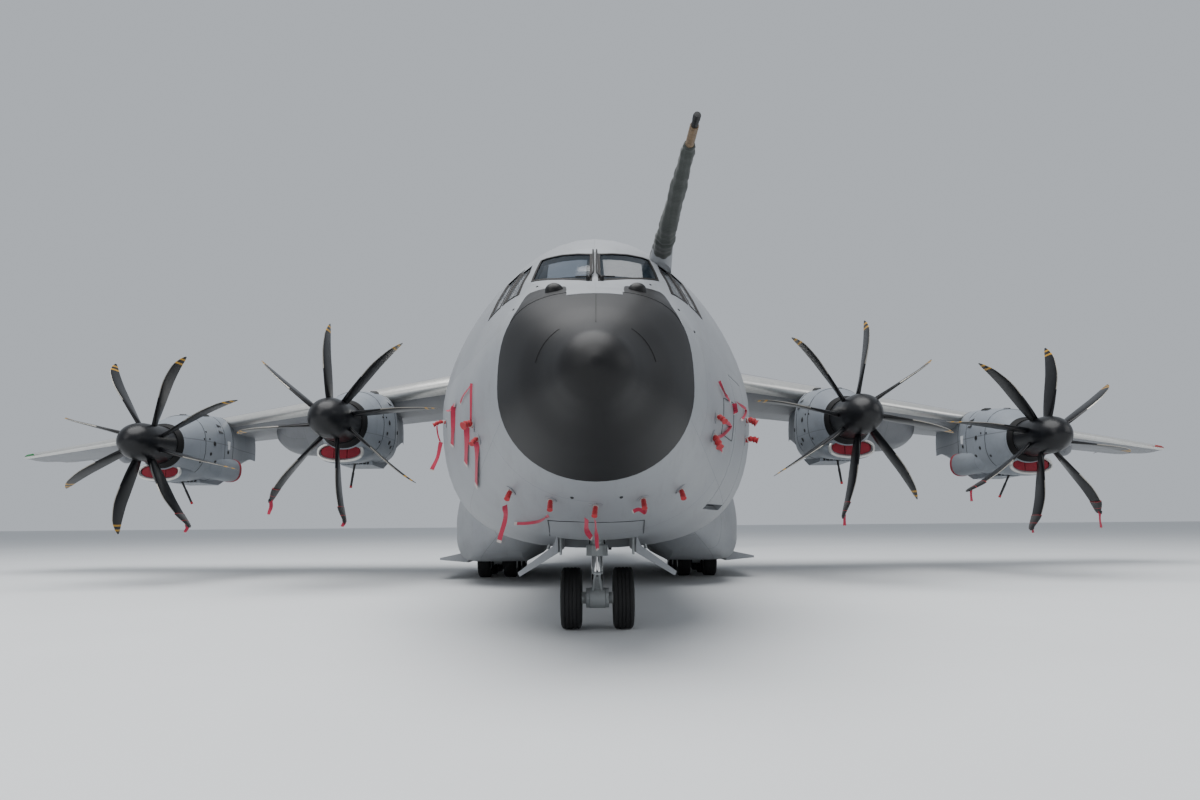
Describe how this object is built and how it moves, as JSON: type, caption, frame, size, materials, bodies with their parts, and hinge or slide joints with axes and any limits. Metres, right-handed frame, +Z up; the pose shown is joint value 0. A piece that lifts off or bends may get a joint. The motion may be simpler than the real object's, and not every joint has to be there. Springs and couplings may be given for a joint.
{
  "type": "four-propeller military transport plane, half-size model",
  "caption": "High-wing military transport plane with a T-tail, turning propellers, a rear ramp and door, moving control surfaces and steerable nose gear.",
  "frame": {"origin": "on the ground under the middle of the aircraft's length and width", "axes": "+X to the aircraft's left, +Y from nose to tail, +Z up"},
  "size_m": [21.2, 22.55, 7.275],
  "materials": {
    "skin": "matt grey paint",
    "radome": "matt black paint",
    "glass": "clear",
    "floor": "worn",
    "probe": "cloth wrap over metal",
    "wing_skin": "matt grey paint",
    "tail_skin": "matt grey paint",
    "fairing": "matt grey paint",
    "gear_paint": "gloss pale grey",
    "tyre": "rubber",
    "gear_door": "matt grey paint",
    "nacelle": "matt grey paint",
    "engine": "bare",
    "propeller": "satin black"
  },
  "bodies": {
    "airframe": {"radome": "radome", "forward_fuselage": "skin", "centre_fuselage": "skin", "rear_fuselage": "skin", "wing_fairing": "wing_skin", "windscreen_left": "glass", "windscreen_right": "glass", "side_window_front_left": "glass", "side_window_front_right": "glass", "side_window_rear_left": "glass", "side_window_rear_right": "glass", "flight_deck": "floor", "cargo_floor": "floor", "refuelling_probe": "probe", "wing_left": "wing_skin", "wing_right": "wing_skin", "fin": "tail_skin", "tailplane": "tail_skin", "sponson_left": "fairing", "sponson_right": "fairing", "main_gear_legs_left": "gear_paint", "main_gear_legs_right": "gear_paint", "nose_leg": "gear_paint", "nose_gear_door_left": "gear_door", "nose_gear_door_right": "gear_door", "main_gear_door_left": "gear_door", "main_gear_door_right": "gear_door", "nacelle_inner_left": "nacelle", "engine_inner_left": "engine", "nacelle_outer_left": "nacelle", "engine_outer_left": "engine", "nacelle_inner_right": "nacelle", "engine_inner_right": "engine", "nacelle_outer_right": "nacelle", "engine_outer_right": "engine"},
    "flap_inner_left": {"flap_inner_left": "wing_skin"},
    "flap_inner_right": {"flap_inner_right": "wing_skin"},
    "flap_outer_left": {"flap_outer_left": "wing_skin"},
    "flap_outer_right": {"flap_outer_right": "wing_skin"},
    "aileron_left": {"aileron_left": "wing_skin"},
    "aileron_right": {"aileron_right": "wing_skin"},
    "elevator_left": {"elevator_left": "tail_skin"},
    "elevator_right": {"elevator_right": "tail_skin"},
    "rudder": {"rudder": "tail_skin"},
    "crew_door": {"crew_door": "skin"},
    "ramp": {"ramp": "skin"},
    "cargo_door": {"cargo_door": "skin"},
    "propeller_inner_left": {"propeller_inner_left": "propeller"},
    "propeller_outer_left": {"propeller_outer_left": "propeller"},
    "propeller_inner_right": {"propeller_inner_right": "propeller"},
    "propeller_outer_right": {"propeller_outer_right": "propeller"},
    "main_wheels_1_left": {"main_wheels_1_left": "tyre"},
    "main_wheels_1_right": {"main_wheels_1_right": "tyre"},
    "main_wheels_2_left": {"main_wheels_2_left": "tyre"},
    "main_wheels_2_right": {"main_wheels_2_right": "tyre"},
    "main_wheels_3_left": {"main_wheels_3_left": "tyre"},
    "main_wheels_3_right": {"main_wheels_3_right": "tyre"},
    "nose_steer": {"nose_fork": "gear_paint"},
    "nose_wheels": {"nose_wheels": "tyre"}
  },
  "joints": [
    {"name": "flap_inner_left_hinge", "type": "hinge", "parent": "airframe", "child": "flap_inner_left", "pos_m": [1.525, -0.77176, 3.04144], "axis": [-0.985, -0.141, 0.1], "range_deg": [0, 35]},
    {"name": "flap_inner_right_hinge", "type": "hinge", "parent": "airframe", "child": "flap_inner_right", "pos_m": [-1.525, -0.77176, 3.04144], "axis": [-0.985, 0.141, -0.1], "range_deg": [0, 35]},
    {"name": "flap_outer_left_hinge", "type": "hinge", "parent": "airframe", "child": "flap_outer_left", "pos_m": [4.675, -0.32096, 2.72177], "axis": [-0.985, -0.141, 0.1], "range_deg": [0, 35]},
    {"name": "flap_outer_right_hinge", "type": "hinge", "parent": "airframe", "child": "flap_outer_right", "pos_m": [-4.675, -0.32096, 2.72177], "axis": [-0.985, 0.141, -0.1], "range_deg": [0, 35]},
    {"name": "aileron_left_hinge", "type": "hinge", "parent": "airframe", "child": "aileron_left", "pos_m": [7.725, 0.11552, 2.41501], "axis": [-0.9849, -0.141, 0.1004], "range_deg": [-20, 20]},
    {"name": "aileron_right_hinge", "type": "hinge", "parent": "airframe", "child": "aileron_right", "pos_m": [-7.725, 0.11552, 2.41501], "axis": [-0.9849, 0.141, -0.1004], "range_deg": [-20, 20]},
    {"name": "elevator_left_hinge", "type": "hinge", "parent": "airframe", "child": "elevator_left", "pos_m": [0.225, 10.2, 7.15], "axis": [-0.9806, -0.1961, 0], "range_deg": [-22, 15]},
    {"name": "elevator_right_hinge", "type": "hinge", "parent": "airframe", "child": "elevator_right", "pos_m": [-0.225, 10.2, 7.15], "axis": [-0.9806, 0.1961, 0], "range_deg": [-22, 15]},
    {"name": "rudder_hinge", "type": "hinge", "parent": "airframe", "child": "rudder", "pos_m": [0, 8.8, 3.65], "axis": [0, 0.3317, 0.9434], "range_deg": [-25, 25]},
    {"name": "crew_door_hinge", "type": "hinge", "parent": "airframe", "child": "crew_door", "pos_m": [0.80419, -9.25, 0.97], "axis": [0.3392, 0.9407, 0], "range_deg": [0, 115]},
    {"name": "ramp_hinge", "type": "hinge", "parent": "airframe", "child": "ramp", "pos_m": [0, 0.95, 0.64], "axis": [-1, 0, 0], "range_deg": [0, 24]},
    {"name": "cargo_door_hinge", "type": "hinge", "parent": "airframe", "child": "cargo_door", "pos_m": [0, 6.695, 2.27], "axis": [-1, 0, 0], "range_deg": [0, 22]},
    {"name": "propeller_inner_left_spin", "type": "hinge", "parent": "airframe", "child": "propeller_inner_left", "pos_m": [3.4315, -4.6565, 2.1845], "axis": [0, 1, 0], "continuous": true},
    {"name": "propeller_outer_left_spin", "type": "hinge", "parent": "airframe", "child": "propeller_outer_left", "pos_m": [6.409, -3.6855, 2.0005], "axis": [0, 1, 0], "continuous": true},
    {"name": "propeller_inner_right_spin", "type": "hinge", "parent": "airframe", "child": "propeller_inner_right", "pos_m": [-3.4315, -4.6565, 2.1845], "axis": [0, 1, 0], "continuous": true},
    {"name": "propeller_outer_right_spin", "type": "hinge", "parent": "airframe", "child": "propeller_outer_right", "pos_m": [-6.409, -3.6855, 2.0005], "axis": [0, 1, 0], "continuous": true},
    {"name": "main_wheels_1_left_spin", "type": "hinge", "parent": "airframe", "child": "main_wheels_1_left", "pos_m": [1.545, -2.45, 0.2725], "axis": [1, 0, 0], "continuous": true},
    {"name": "main_wheels_1_right_spin", "type": "hinge", "parent": "airframe", "child": "main_wheels_1_right", "pos_m": [-1.545, -2.45, 0.2725], "axis": [1, 0, 0], "continuous": true},
    {"name": "main_wheels_2_left_spin", "type": "hinge", "parent": "airframe", "child": "main_wheels_2_left", "pos_m": [1.545, -1.675, 0.2725], "axis": [1, 0, 0], "continuous": true},
    {"name": "main_wheels_2_right_spin", "type": "hinge", "parent": "airframe", "child": "main_wheels_2_right", "pos_m": [-1.545, -1.675, 0.2725], "axis": [1, 0, 0], "continuous": true},
    {"name": "main_wheels_3_left_spin", "type": "hinge", "parent": "airframe", "child": "main_wheels_3_left", "pos_m": [1.545, -0.9, 0.2725], "axis": [1, 0, 0], "continuous": true},
    {"name": "main_wheels_3_right_spin", "type": "hinge", "parent": "airframe", "child": "main_wheels_3_right", "pos_m": [-1.545, -0.9, 0.2725], "axis": [1, 0, 0], "continuous": true},
    {"name": "nose_steering", "type": "hinge", "parent": "airframe", "child": "nose_steer", "pos_m": [0, -8.725, 0.235], "axis": [0, 0, 1], "range_deg": [-60, 60]},
    {"name": "nose_wheels_spin", "type": "hinge", "parent": "nose_steer", "child": "nose_wheels", "pos_m": [0, -8.725, 0.235], "axis": [1, 0, 0], "continuous": true}
  ]
}
